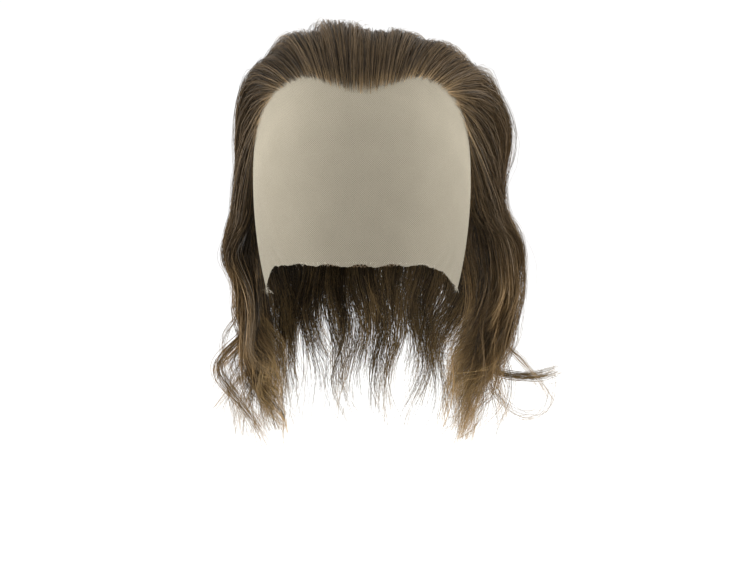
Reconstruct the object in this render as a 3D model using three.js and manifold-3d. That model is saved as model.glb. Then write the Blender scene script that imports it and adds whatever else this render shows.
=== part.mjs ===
// A lace front wig: a hollow net cap with a sheer lace panel sewn to its front edge, and brown hair
// that is combed back from the hairline and hangs in wavy locks at the sides and the back.
// Millimetres, +Z up. The face looks along -Y and +X is the right side seen from the front.
// The origin is the inside of the crown, where the cap sits on the top of a head.

import * as THREE from "three";
import Module from "manifold-3d";

const wasm = await Module();
wasm.setup();

// Driving sizes: the hollow that a head of 57 cm round fills
const HEAD = {
  halfWidth: 75,
  front: 92,
  back: 98,
  crown: 91, // from the widest level up to the top of the head
  jawFront: 210, // half axes below the widest level, which set how fast the head narrows there
  jawSide: 157,
  nape: 122,
};
const PLAN_POWER = 2.3; // 2 would make the head an ellipse from above
const CROWN_POWER = 2.6; // and a higher power makes it squarer from the front
const JAW_POWER = 2;

// Cloth walls and the gaps between pieces
const LACE_WALL = 1;
const CAP_WALL = 1.3;
const SEAM_GAP = 0.4;
const HAIR_GAP = 0.9; // the flat facets of the hair and the cap come nearer than this between their corners
const HAIR_SEAT = CAP_WALL + HAIR_GAP;
const SECTION_GAP = 0.0014; // half the gap between two sections, as a share of the way across

// Hair
const LOCKS = 20; // side by side from one sideburn over the hairline to the other
const FALL = 164; // how far the hair hangs below the level where it leaves the head
const ROOT_HEIGHT = 1.2; // of the hair at the hairline
const BACKING = 5; // the combed layer next to the cap
const BACKING_RISE = 0.25; // share of the way to the drop over which that layer comes to its height
const LOCK_START = 0.02; // share of the way to the drop where the locks start, just behind the hairline
const LOCK_OVER = 0.3; // height of a lock over that layer at its start
const LOCK_FOOT = 0.4; // and how far its underside keeps from the underside of the layer there
const LOCK_EMBED = 2.4; // how far the locks reach down into that layer
const LOCK_OVERLAP = 1.25; // width of a lock over the space between two
const LOCK_EDGE = 0.5; // height of a lock at its edges over its height in the middle
const UNDERSIDE = { from: 0.95, to: 1.25 }; // where the underside of a lock comes to be as round as its top
const TIP = 0.6; // half size of a lock's blunt tip
const TIP_WIDTH = 0.1; // width of a lock at its tip over its width
// Share of the way to the drop where the hair is at its full height, and where across the head that changes
const COMBED = { middle: 0.32, side: 0.6 };
const COMBED_SIDE = { from: 0.6, to: 0.95 };
const TAPER = 74; // length over which a lock narrows to its tip
const STEP_ON_HEAD = 30;
const SHORTEST_STEP = 0.05;
const HANG_STEP = 20.5;
const CURL_STEP = 6.5;
const TRIM = 0.2; // how far a facet may move where the fused surface is made simpler

// How the hair runs, from the middle of the hairline (share 0) to the sideburns (share 1). Each row is one
// line of hair: its root, a place that it bends towards on its way, and the drop where it leaves the head.
// A turn is in degrees from the front, and a rise is above the widest level.
const FLOW = [
  { share: 0, rootTurn: 0, rootRise: 60, overTurn: 180, overRise: 88, dropTurn: 180, dropRise: -14 },
  { share: 0.1, rootTurn: 7.6, rootRise: 61.2, overTurn: 167, overRise: 87, dropTurn: 174, dropRise: -14 },
  { share: 0.25, rootTurn: 19, rootRise: 66, overTurn: 146, overRise: 86, dropTurn: 163, dropRise: -14 },
  { share: 0.45, rootTurn: 35, rootRise: 70, overTurn: 114, overRise: 81, dropTurn: 146, dropRise: -13 },
  { share: 0.62, rootTurn: 52, rootRise: 66, overTurn: 91, overRise: 67, dropTurn: 127, dropRise: -12 },
  { share: 0.75, rootTurn: 74, rootRise: 55, overTurn: 88, overRise: 40, dropTurn: 113, dropRise: -13 },
  { share: 0.87, rootTurn: 84, rootRise: 27, overTurn: 91, overRise: 6, dropTurn: 104, dropRise: -16 },
  { share: 1, rootTurn: 88, rootRise: -10, overTurn: 93, overRise: -17, dropTurn: 98, dropRise: -24 },
];

// Height of the hair over the cap, across from the left sideburn (0) to the right one (1)
const DEPTH = [
  { across: 0, depth: 14 },
  { across: 0.12, depth: 16 },
  { across: 0.28, depth: 17 },
  { across: 0.5, depth: 15 },
  { across: 0.7, depth: 15.5 },
  { across: 0.8, depth: 24 },
  { across: 0.88, depth: 32 },
  { across: 1, depth: 25 },
];

// How far the hanging hair has drifted outwards, by its share of the fall
const DRIFT = [
  { fallen: 0, left: 0, back: 0, right: 0 },
  { fallen: 0.08, left: 4.5, back: -1.2, right: 8 },
  { fallen: 0.2, left: 8, back: -3, right: 12.5 },
  { fallen: 0.38, left: 2.5, back: -6, right: 11.5 },
  { fallen: 0.55, left: -5, back: -6, right: 7 },
  { fallen: 0.68, left: -7, back: -3, right: 3 },
  { fallen: 0.84, left: -8, back: 0, right: -5 },
  { fallen: 1, left: -12, back: 2, right: -14 },
];
const DRIFT_SIDE = { from: 0.3, to: 0.75 }; // how far the hair faces sideways where the back becomes a side

// Waves in the hanging locks, and how unlike its neighbours each lock is
const WAVE = { size: 3.2, turns: 1.9, phaseStep: 0.55, grownAt: 0.3 };
const UNEVEN = { depth: 0.13, length: 0.12, phaseStep: 2.4, lengthShift: 7 };

// The sections of hair, each from one lock to another
const SECTIONS = [
  { name: "hair_side_left", from: 0, to: 4 },
  { name: "hair_back_left", from: 4, to: 8 },
  { name: "hair_back_centre", from: 8, to: 12 },
  { name: "hair_back_right", from: 12, to: 16 },
  { name: "hair_side_right", from: 16, to: 20 },
];

// Loose locks at the sides: where they lie across, how wide and thick they are, in which layer of the hair
// they lie (1 is its top), where they come free along their length, how far they stand off on the way, how
// long they hang below the drop, and how they turn outwards there: from how far below the drop, over what
// length, and by how many degrees
const CURLS = [
  {
    across: 0.06, width: 7, thick: 6.5, layer: 0.1, start: 0.4, standOff: 2, hang: 196,
    turns: [{ at: 82, over: 14, degrees: 54 }, { at: 110, over: 28, degrees: -94 }],
  },
  {
    across: 0.15, width: 8, thick: 6, layer: 0.15, start: 0.3, standOff: 1, hang: 150,
    turns: [{ at: 84, over: 24, degrees: 58 }, { at: 130, over: 20, degrees: -20 }],
  },
  {
    across: 0.9, width: 9, thick: 7.5, layer: 0.3, start: 0.2, standOff: 1, hang: 178,
    turns: [{ at: 106, over: 26, degrees: 88 }, { at: 130, over: 40, degrees: 40 }],
  },
  {
    across: 0.905, width: 14, thick: 6, layer: 0.86, start: 0.1, standOff: 2, hang: 136,
    turns: [{ at: 20, over: 40, degrees: 6 }, { at: 66, over: 44, degrees: -20 }],
  },
  {
    across: 0.935, width: 12, thick: 6, layer: 0.86, start: 0.1, standOff: 2.5, hang: 118,
    turns: [{ at: 20, over: 40, degrees: 6 }, { at: 66, over: 44, degrees: -20 }],
  },
];
const LEAVE = { from: 20, to: 140 }; // lengths from the root where a loose lock comes to stand off
const MM_ACROSS = 290; // of hair from one sideburn to the other
const TURN_STEPS = 60; // in the sum along a turning lock

// The seam of the lace and the cap, from ear to ear over the head
const SEAM = { halfAngle: 110, leanBack: 0.2 };

// The free edges of the lace and of the cap, from the middle (share 0) to the ear (share 1), with the rise
// of each side. The lace is trimmed by hand, so its sides differ.
const LACE_EDGE = [
  { share: 0, turn: 0, left: -54, right: -54 },
  { share: 0.4, turn: 26, left: -54, right: -54.5 },
  { share: 0.55, turn: 36, left: -54.5, right: -57 },
  { share: 0.7, turn: 48, left: -58, right: -65 },
  { share: 0.84, turn: 62, left: -70, right: -72 },
  { share: 1, turn: 88, left: -79, right: -78 },
];
const CAP_EDGE = [
  { share: 0, turn: 180, left: -66, right: -66 },
  { share: 0.35, turn: 160, left: -64, right: -64 },
  { share: 0.65, turn: 140, left: -56, right: -56 },
  { share: 0.85, turn: 122, left: -36, right: -36 },
  { share: 1, turn: 106, left: -26, right: -26 },
];

const LACE_GRID = { across: 20, along: 11 };
const CAP_GRID = { across: 20, along: 12 };
const BACKING_STEPS = 16;
const BACKING_COLUMNS = 5;

// A smooth value between the rows of a table, by its first column
function lookUp(table, key, column, at) {
  const last = table.length - 1;
  let row = 0;
  while (row < last - 1 && at > table[row + 1][key]) row += 1;
  const span = table[row + 1][key] - table[row][key];
  const t = THREE.MathUtils.clamp((at - table[row][key]) / span, 0, 1);
  const slope = (i) => {
    const before = table[Math.max(i - 1, 0)];
    const after = table[Math.min(i + 1, last)];
    return (after[column] - before[column]) / (after[key] - before[key]);
  };
  const start = table[row][column];
  const end = table[row + 1][column];
  const bend = t * t * (3 - 2 * t);
  const ease = t * (1 - t);
  return start + (end - start) * bend + span * ease * ((1 - t) * slope(row) - t * slope(row + 1));
}

const smooth = (low, high, at) => THREE.MathUtils.smoothstep(at, low, high);

// The head and what lies over it

// The half axis below the widest level, on the side that a direction faces
function jawAxis(x, y) {
  const facing = y ** 2 / Math.max(x ** 2 + y ** 2, Number.EPSILON);
  return THREE.MathUtils.lerp(HEAD.jawSide, y < 0 ? HEAD.jawFront : HEAD.nape, facing);
}

// A point over the head, where the line from its centre along a direction meets a skin at that height
function overHead(direction, height) {
  const { x, y, z } = direction;
  const wide = Math.abs(x) / (HEAD.halfWidth + height);
  const long = Math.abs(y) / ((y < 0 ? HEAD.front : HEAD.back) + height);
  const high = Math.abs(z) / ((z > 0 ? HEAD.crown : jawAxis(x, y)) + height);
  const plan = (wide ** PLAN_POWER + long ** PLAN_POWER) ** (1 / PLAN_POWER);
  const power = z > 0 ? CROWN_POWER : JAW_POWER;
  const reach = (plan ** power + high ** power) ** (-1 / power);
  return new THREE.Vector3(x, y, z).multiplyScalar(reach).add(new THREE.Vector3(0, 0, -HEAD.crown));
}

// The direction from the head's centre to the place on its skin at a turn and a rise
function towards(turn, rise, side) {
  const angle = THREE.MathUtils.degToRad(turn) * side;
  const level = new THREE.Vector3(Math.sin(angle), -Math.cos(angle), 0);
  const widest = overHead(level, 0).setZ(0).length();
  const axis = rise > 0 ? HEAD.crown : jawAxis(level.x, level.y);
  const power = rise > 0 ? CROWN_POWER : JAW_POWER;
  const narrow = Math.max(1 - Math.abs(rise / axis) ** power, 0) ** (1 / power);
  return level.multiplyScalar(widest * narrow).setZ(rise);
}

// The place named by a turn column and a rise column, across is 0 at the left end and 1 at the right
function edgePlace(table, across, turnColumn, riseColumn) {
  const share = Math.abs(2 * across - 1);
  const side = across < 0.5 ? -1 : 1;
  const turn = lookUp(table, "share", turnColumn, share);
  return towards(turn, lookUp(table, "share", riseColumn, share), side);
}

// Hair

// A place in the hair: along is 0 at the hairline, 1 at the drop and 2 at the end of the fall
function inHair(across, along, height) {
  const root = edgePlace(FLOW, across, "rootTurn", "rootRise");
  const over = edgePlace(FLOW, across, "overTurn", "overRise");
  const drop = edgePlace(FLOW, across, "dropTurn", "dropRise");
  const t = Math.min(along, 1);
  const direction = root.multiplyScalar((1 - t) ** 2)
    .addScaledVector(over, 2 * t * (1 - t))
    .addScaledVector(drop, t * t)
    .normalize();
  const place = overHead(direction, height);
  if (along <= 1) return place;
  const fallen = along - 1;
  const out = drop.clone().setZ(0).normalize();
  const sideness = smooth(DRIFT_SIDE.from, DRIFT_SIDE.to, Math.abs(out.x));
  const sideColumn = out.x < 0 ? "left" : "right";
  const sideDrift = lookUp(DRIFT, "fallen", sideColumn, fallen);
  const backDrift = lookUp(DRIFT, "fallen", "back", fallen);
  const phase = WAVE.phaseStep * across * LOCKS;
  const wave = WAVE.size * smooth(0, WAVE.grownAt, fallen)
    * Math.sin(2 * Math.PI * WAVE.turns * fallen + phase);
  place.addScaledVector(out, sideness * sideDrift + (1 - sideness) * backDrift + wave);
  place.z -= fallen * FALL;
  return place;
}

// Length of hair on the head, measured along its middle layer
function lengthOnHead(across) {
  const steps = 12;
  let total = 0;
  let before = inHair(across, 0, BACKING);
  for (let i = 1; i <= steps; i += 1) {
    const place = inHair(across, i / steps, BACKING);
    total += place.distanceTo(before);
    before = place;
  }
  return total;
}

// A closed solid through sections, each a row of outer points and a row of inner points under them
function loft(sections) {
  const columns = sections[0].outer.length;
  const ring = 2 * columns;
  const positions = sections.flatMap(({ outer, inner }) => [...outer, ...[...inner].reverse()])
    .flatMap((p) => [p.x, p.y, p.z]);
  const index = [];
  const quad = (a, b, c, d) => index.push(a, b, c, a, c, d);
  for (let s = 0; s + 1 < sections.length; s += 1) {
    for (let k = 0; k < ring; k += 1) {
      const next = (k + 1) % ring;
      quad(s * ring + k, s * ring + next, (s + 1) * ring + next, (s + 1) * ring + k);
    }
  }
  const end = (sections.length - 1) * ring;
  for (let k = 0; k + 1 < columns; k += 1) {
    const under = ring - 1 - k;
    quad(k, under, under - 1, k + 1);
    quad(end + k, end + k + 1, end + under - 1, end + under);
  }
  return new THREE.BufferGeometry()
    .setAttribute("position", new THREE.Float32BufferAttribute(positions, 3))
    .setIndex(index);
}

function solidOf(geometry) {
  return new wasm.Manifold(new wasm.Mesh({
    numProp: 3,
    vertProperties: geometry.attributes.position.array,
    triVerts: new Uint32Array(geometry.index.array),
  }));
}

function geometryOf(solid) {
  const { vertProperties, triVerts } = solid.getMesh();
  return new THREE.BufferGeometry()
    .setAttribute("position", new THREE.BufferAttribute(vertProperties, 3))
    .setIndex(new THREE.BufferAttribute(triVerts, 1));
}

// The combed layer next to the cap, under some of the locks
function backing(section) {
  const columns = BACKING_COLUMNS + 1;
  const sections = [];
  for (let s = 0; s <= BACKING_STEPS; s += 1) {
    const along = s / BACKING_STEPS;
    const top = HAIR_SEAT + ROOT_HEIGHT + (BACKING - ROOT_HEIGHT) * smooth(0, BACKING_RISE, along);
    const places = Array.from({ length: columns }, (_, k) => acrossOf(section, k / (columns - 1)));
    sections.push({
      outer: places.map((across) => inHair(across, along, top)),
      inner: places.map((across) => inHair(across, along, HAIR_SEAT)),
    });
  }
  return loft(sections);
}

// Across a section of hair, held clear of the next one
function acrossOf(section, share) {
  return THREE.MathUtils.lerp(section.from / LOCKS + SECTION_GAP, section.to / LOCKS - SECTION_GAP, share);
}

// How far a lock has turned outwards from straight down, at a length below the drop
function turnAt(turns, hung) {
  let degrees = 0;
  for (const turn of turns) degrees += turn.degrees * smooth(turn.at, turn.at + turn.over, hung);
  return THREE.MathUtils.degToRad(degrees);
}

// How far outwards the turns have brought it by then, and how much less far down it is
function turnedPath(turns, hung) {
  const step = hung / TURN_STEPS;
  const path = { aside: 0, lift: 0 };
  for (let i = 0; i < TURN_STEPS; i += 1) {
    const turn = turnAt(turns, (i + 0.5) * step);
    path.aside += Math.sin(turn) * step;
    path.lift += (1 - Math.cos(turn)) * step;
  }
  return path;
}

// The stations of a lock from its start to its tip: the share of the way to the drop, and the length below
function stationsOf({ across, start, hang, step }) {
  const nearestSeam = Math.round(across * SECTIONS.length) / SECTIONS.length;
  const doublings = Math.ceil(Math.log2(lengthOnHead(nearestSeam) / STEP_ON_HEAD));
  const headSteps = 2 ** Math.max(1, doublings);
  const stations = [{ onHead: start, hung: 0 }];
  for (let i = 1; i < headSteps; i += 1) {
    if (i / headSteps > start + SHORTEST_STEP) stations.push({ onHead: i / headSteps, hung: 0 });
  }
  for (let hung = 0; hung < hang - step / 2; hung += step) stations.push({ onHead: 1, hung });
  stations.push({ onHead: 1, hung: hang });
  return stations;
}

// One lock
function lock(section, shape) {
  const { across: middle, width, foot, top, start, standOff, hang, turns } = shape;
  const low = acrossOf(section, 0);
  const high = acrossOf(section, 1);
  const sideness = smooth(COMBED_SIDE.from, COMBED_SIDE.to, Math.abs(2 * middle - 1));
  const combed = THREE.MathUtils.lerp(COMBED.middle, COMBED.side, sideness);
  const sections = stationsOf(shape).map(({ onHead, hung }) => {
    const taper = 1 - smooth(hang - TAPER, hang, hung);
    const rise = smooth(0, combed, onHead);
    const free = (onHead - start + hung / FALL) / (1 - start + hang / FALL);
    const run = onHead * lengthOnHead(middle) + hung;
    const turn = turnAt(turns, hung);
    const { aside, lift } = turnedPath(turns, hung);
    const along = onHead + (hung - lift) / FALL;
    const over = HAIR_SEAT + ROOT_HEIGHT + LOCK_OVER + (top - ROOT_HEIGHT) * rise;
    const under = HAIR_SEAT + LOCK_FOOT + foot * rise;
    const away = Math.sqrt(Math.max(Math.sin(Math.PI * free), 0)) * smooth(LEAVE.from, LEAVE.to, run);
    const centre = (over + under) / 2 + standOff * away + aside;
    const half = Math.max((over - under) / 2 * taper, TIP);
    const halfAcross = 0.5 * width * (TIP_WIDTH + (1 - TIP_WIDTH) * taper);
    const underEdge = THREE.MathUtils.lerp(1, LOCK_EDGE, smooth(UNDERSIDE.from, UNDERSIDE.to, along));
    const place = (k, off) => inHair(
      THREE.MathUtils.clamp(middle + k * halfAcross, low, high),
      along - off * Math.sin(turn) / FALL,
      centre + off * Math.cos(turn),
    );
    return {
      outer: [-1, 0, 1].map((k) => place(k, half * (k === 0 ? 1 : LOCK_EDGE))),
      inner: [-1, 0, 1].map((k) => place(k, -half * (k === 0 ? 1 : underEdge))),
    };
  });
  return loft(sections);
}

// Sizes of a lock that lies in its place among the others
function combedLock(number) {
  const across = (number + 0.5) / LOCKS;
  const odd = Math.sin(UNEVEN.phaseStep * number);
  const short = UNEVEN.length * (1 + Math.sin(UNEVEN.phaseStep * (number + UNEVEN.lengthShift)));
  return {
    across,
    width: LOCK_OVERLAP / LOCKS,
    foot: BACKING - LOCK_EMBED,
    top: lookUp(DEPTH, "across", "depth", across) * (1 + UNEVEN.depth * odd),
    start: LOCK_START,
    standOff: 0,
    hang: FALL * (1 - short),
    step: HANG_STEP,
    turns: [],
  };
}

// Sizes of a loose lock
function looseLock(curl) {
  const middle = curl.layer * lookUp(DEPTH, "across", "depth", curl.across);
  return {
    ...curl,
    width: curl.width / MM_ACROSS,
    foot: Math.max(middle - curl.thick / 2, 0),
    top: middle + curl.thick / 2,
    step: CURL_STEP,
  };
}

// Locks fused to the layer under them, without the small hollows that are left inside
function hairSection(section) {
  let solid = solidOf(backing(section));
  for (let number = section.from; number < section.to; number += 1) {
    solid = solid.add(solidOf(lock(section, combedLock(number))));
  }
  for (const curl of CURLS) {
    const within = curl.across * LOCKS > section.from && curl.across * LOCKS < section.to;
    if (within) solid = solid.add(solidOf(lock(section, looseLock(curl))));
  }
  const bodies = solid.simplify(TRIM).decompose();
  bodies.sort((a, b) => b.volume() - a.volume());
  return geometryOf(bodies[0]);
}

// Cap and lace

// A place on the seam, across is 0 at the left ear and 1 at the right
function seamPlace(across) {
  const angle = THREE.MathUtils.degToRad(SEAM.halfAngle) * (2 * across - 1);
  const direction = new THREE.Vector3(Math.sin(angle), SEAM.leanBack, Math.cos(angle));
  return overHead(direction, 0).add(new THREE.Vector3(0, 0, HEAD.crown));
}

// A cloth wall between two edges, from the seam on top of the head to a free edge below
function clothWall(freeEdge, wall, grid, seamSide) {
  const sections = [];
  for (let i = 0; i <= grid.across; i += 1) {
    const across = i / grid.across;
    const seam = seamPlace(across);
    const free = edgePlace(freeEdge, across, "turn", across < 0.5 ? "left" : "right");
    const aside = free.clone().sub(seam).setLength(SEAM_GAP / 2);
    seam.add(aside);
    const row = { outer: [], inner: [] };
    for (let k = 0; k <= grid.along; k += 1) {
      const t = k / grid.along;
      const swing = seam.angleTo(free);
      const direction = seam.clone().normalize().multiplyScalar(Math.sin((1 - t) * swing))
        .addScaledVector(free.clone().normalize(), Math.sin(t * swing))
        .normalize();
      row.outer.push(overHead(direction, wall));
      row.inner.push(overHead(direction, 0));
    }
    sections.push(row);
  }
  if (seamSide < 0) sections.reverse();
  return loft(sections);
}

// Materials
const lace = new THREE.MeshStandardMaterial({ color: 0xc9b697, roughness: 0.9, metalness: 0 });
const net = new THREE.MeshStandardMaterial({ color: 0x8f7a5f, roughness: 0.9, metalness: 0 });
const hair = new THREE.MeshStandardMaterial({ color: 0x4a3b2b, roughness: 0.5, metalness: 0 });

function piece(name, geometry, material) {
  const mesh = new THREE.Mesh(geometry, material);
  mesh.name = name;
  return mesh;
}

const wig = new THREE.Group();
wig.add(piece("lace_front", clothWall(LACE_EDGE, LACE_WALL, LACE_GRID, 1), lace));
wig.add(piece("cap", clothWall(CAP_EDGE, CAP_WALL, CAP_GRID, -1), net));
for (const section of SECTIONS) wig.add(piece(section.name, hairSection(section), hair));

export default wig;
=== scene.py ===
# A lace front wig: sheer lace, a plain net cap, and strands of wavy brown hair that are combed back
import math
from types import SimpleNamespace

import bpy
import numpy as np
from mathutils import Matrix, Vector


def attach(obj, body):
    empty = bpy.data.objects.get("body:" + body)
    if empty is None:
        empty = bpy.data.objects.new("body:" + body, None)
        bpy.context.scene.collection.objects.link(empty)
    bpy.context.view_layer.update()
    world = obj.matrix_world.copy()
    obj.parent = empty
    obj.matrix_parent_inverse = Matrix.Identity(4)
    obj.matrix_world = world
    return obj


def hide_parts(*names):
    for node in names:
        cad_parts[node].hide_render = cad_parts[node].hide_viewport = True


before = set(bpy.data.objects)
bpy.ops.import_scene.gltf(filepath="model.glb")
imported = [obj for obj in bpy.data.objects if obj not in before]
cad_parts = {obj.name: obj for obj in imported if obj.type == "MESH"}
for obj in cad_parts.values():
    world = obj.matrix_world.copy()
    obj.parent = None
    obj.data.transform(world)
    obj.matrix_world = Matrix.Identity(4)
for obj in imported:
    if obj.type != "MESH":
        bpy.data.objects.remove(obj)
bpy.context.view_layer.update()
rng = np.random.default_rng(20)
tone_rng = np.random.default_rng(21)

MM = 0.001

# Sizes in millimetres, mostly those of the part's source
HALF_WIDTH, FRONT, BACK, CROWN = 75.0, 92.0, 98.0, 91.0
JAW_FRONT, JAW_SIDE, NAPE = 210.0, 157.0, 122.0
PLAN_POWER, CROWN_POWER, JAW_POWER = 2.3, 2.6, 2.0
LACE_WALL, CAP_WALL, HAIR_GAP = 1.0, 1.3, 0.9
HAIR_SEAT = CAP_WALL + HAIR_GAP
LOCKS = 20
FALL = 164.0
ROOT_HEIGHT, BACKING = 1.2, 5.0
COMBED_MIDDLE, COMBED_SIDE, TAPER = 0.32, 0.6, 0.45
SIDE, DRIFT_SIDE = (0.6, 0.95), (0.3, 0.75)  # where the back becomes a side
WAVE_SIZE, WAVE_TURNS, WAVE_PHASE, WAVE_GROWN = 3.2, 1.9, 0.55, 0.3
UNEVEN_DEPTH, UNEVEN_LENGTH, UNEVEN_PHASE, UNEVEN_SHIFT = 0.13, 0.12, 2.4, 7
SEAM_HALF_ANGLE, SEAM_LEAN = 110.0, 0.2
LENGTH_STEPS = 12
MM_ACROSS = 290.0  # of hair from one sideburn to the other, so that sideways sizes can be in millimetres
CENTRE = np.array([0, 0, -CROWN])  # of the hollow
TINY = 1e-9

# How the hair runs, from the middle of the hairline to the sideburns: root, bend and drop
FLOW = {
    "share": [0, 0.1, 0.25, 0.45, 0.62, 0.75, 0.87, 1],
    "root_turn": [0, 7.6, 19, 35, 52, 74, 84, 88],
    "root_rise": [60, 61.2, 66, 70, 66, 55, 27, -10],
    "over_turn": [180, 167, 146, 114, 91, 88, 91, 93],
    "over_rise": [88, 87, 86, 81, 67, 40, 6, -17],
    "drop_turn": [180, 174, 163, 146, 127, 113, 104, 98],
    "drop_rise": [-14, -14, -14, -13, -12, -13, -16, -24],
}
DEPTH = {
    "across": [0, 0.12, 0.28, 0.5, 0.7, 0.8, 0.88, 1],
    "depth": [14, 16, 17, 15, 15.5, 24, 32, 25],
}
DRIFT = {
    "fallen": [0, 0.08, 0.2, 0.38, 0.55, 0.68, 0.84, 1],
    "left": [0, 4.5, 8, 2.5, -5, -7, -8, -12],
    "back": [0, -1.2, -3, -6, -6, -3, 0, 2],
    "right": [0, 8, 12.5, 11.5, 7, 3, -5, -14],
}
LACE_EDGE = {
    "share": [0, 0.4, 0.55, 0.7, 0.84, 1],
    "turn": [0, 26, 36, 48, 62, 88],
    "left": [-54, -54, -54.5, -58, -70, -79],
    "right": [-54, -54.5, -57, -65, -72, -78],
}
CAP_EDGE = {
    "share": [0, 0.35, 0.65, 0.85, 1],
    "turn": [180, 160, 140, 122, 106],
    "left": [-66, -64, -56, -36, -26],
    "right": [-66, -64, -56, -36, -26],
}
SECTIONS = [
    ("hair_side_left", 0, 4),
    ("hair_back_left", 4, 8),
    ("hair_back_centre", 8, 12),
    ("hair_back_right", 12, 16),
    ("hair_side_right", 16, 20),
]

# Strands
STRANDS = 3400  # of each section
POINTS, CURL_POINTS = 24, 40  # along each strand
CLUMPS, TRESSES = 36, 5  # to each lock
CURL_CLUMPS, CURL_TRESSES = 4, 1
LOCK_OVERLAP = 0.08  # how far the strands of a lock reach into its neighbours, as a share of its width
LONGEST_HAIR, HAIR_SPREAD = 285.0, 30.0
LONGEST_HANG, SHORTEST_HANG = 172.0, 15.0
HEAD_PACE = 0.6  # points on a length of strand on the head, over those where it hangs
SIDE_OVERLAP = 0.1  # how far up the hairline the outer hair of the sides is rooted, across the head
OVERLAP_ALONG = (0.1, 1.0)  # from where to where along it comes back to its place
SPROUT, FIRST_RISE = 26.0, 0.03  # length over which a strand rises from its root, and where it starts
HALF_LAYER, THINNED = 0.45, 0.4  # the layer that strands come nearer to as a lock narrows, and how much
FURROW = 0.12  # how much lower the hair is between two locks
INNER_DRIFT = 0.25  # how far the lowest layer drifts, over the drift of the top one
UNDER = 12.0  # how far the hanging hair may come inside the form of the cap
STRAY = 0.07  # share of the hairs that go their own way
FREE_FALL = 0.2  # share of the fall over which hair comes free of the edge of the wig

# Where the strands are rooted: how many at the hairline, how deep it is, and how far it is on the lace
ROOTS = {
    "in_front": 0.46, "in_front_side": 0.1, "front_side": (0.3, 0.6),
    "deep": 24.0, "on_lace": 6.0, "on_lace_side": 3.0, "lace_side": (0.55, 0.8),
    "on_cap": (0.05, 0.95), "deeper_on_cap": 0.5,
}
# Hairs in front of the hairline: from and to which share of the way from its middle, and millimetres more
ROOT_FUZZ = ((0.3, 0.6, 10), (0.6, 0.8, 16), (0.85, 0.97, -20))
FUZZ_REACH = 0.1  # how far along a hair may be rooted to be one of these

# Layers that the hairs and the clumps lie in are drawn with these powers, so more lie on top
LAYER_POWER, CLUMP_POWER = 0.6, 0.7
LAYER_WEIGHT = 0.6  # of a layer over a lock's width, where a hair looks for its clump

# How long the hairs of a clump are, over the length of their lock
ENDS = {"shortest": 0.64, "longer": 0.62, "power": 1.9, "hair_shorter": 0.3, "hair_power": 1.5}
CURL_EVEN = 0.65  # share of its length that all hairs of a loose lock have

# How far the hairs are drawn to their clump, at the root, where they hang and at the tip
PULL = {"root": 0.12, "hanging": 0.4, "tip": 0.25, "clump": (0.7, 1.2), "hair": (0.7, 1.15)}
CURL_PULL = {**PULL, "root": 0.2, "hanging": 0.5, "tip": 0.2}
JOIN, CURL_JOIN, JOIN_UNEVEN = 0.4, 0.7, (0.5, 1.2)  # and to their tress
# By when the hair hangs loose, as a share of the fall, and where a tip begins
HANGING, TIP_LENGTH, TIP_BELOW = 0.5, 70.0, (0.1, 0.5)

# Waves, with their lengths and sizes in millimetres: those of a tress, frizz and ripples of a clump, and
# rolls at the sides. Grown is the length from the root over which they come to their size.
TRESS_WAVE = {"length": (70, 120), "sway": (1, 4.5), "bob": (0.8, 3.2), "low_bob": (0, 3.5)}
FRIZZ = {"length": (45, 75), "size": (0.5, 4.5), "low": (0.3, 0.9)}
RIPPLE = {"length": (40, 80), "size": (0.1, 1.0), "side": 1.6, "grown": (4, 40)}
ROLL = {"length": (55, 90), "tress": (0.8, 3.2), "clump": (-0.8, 1.2), "grown": (5, 40)}
SPLAY = {"clump": (-5, 5), "hair": 3, "grown": (6, 130)}
RUFFLE = {"clump": (-0.7, 1.4), "hair": 0.5, "along": (0.05, 1.0), "grown": (60, 120)}
OWN_WAY = {
    "stray": (1.2, 4), "hair": (0.15, 0.8), "length": (34, 120), "bob": 0.6, "root": 0.25, "grown": 90,
}

# Waves that neighbouring strands have in common, sideways in all the hanging hair and outwards at the right
STEP = {"length": 82.0, "size": 4.5, "grown": 0.35, "shift": 3, "shifts": 9, "by_layer": 2}
BULGE = {"level": -62.0, "spacing": 72.0, "size": 4.0, "grown": (10, 50)}
RIGHT = (0.7, 0.85)  # where across the head the right side begins

# Curled tips: turns in radians, which are smaller at the back and on hairs that end higher up
TIP_TURN = {"tress": (0.3, 1.5), "clump": (-0.4, 0.4), "hair": 0.03, "stray": 0.2}
TIP_HEADING = {"tress": (0.5 * np.pi, 1.5 * np.pi), "clump": (-0.5, 0.5)}
TIP_AT_BACK, TIP_HIGH_UP, HIGH_UP = 0.35, 0.2, (0.5, 0.9)

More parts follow.
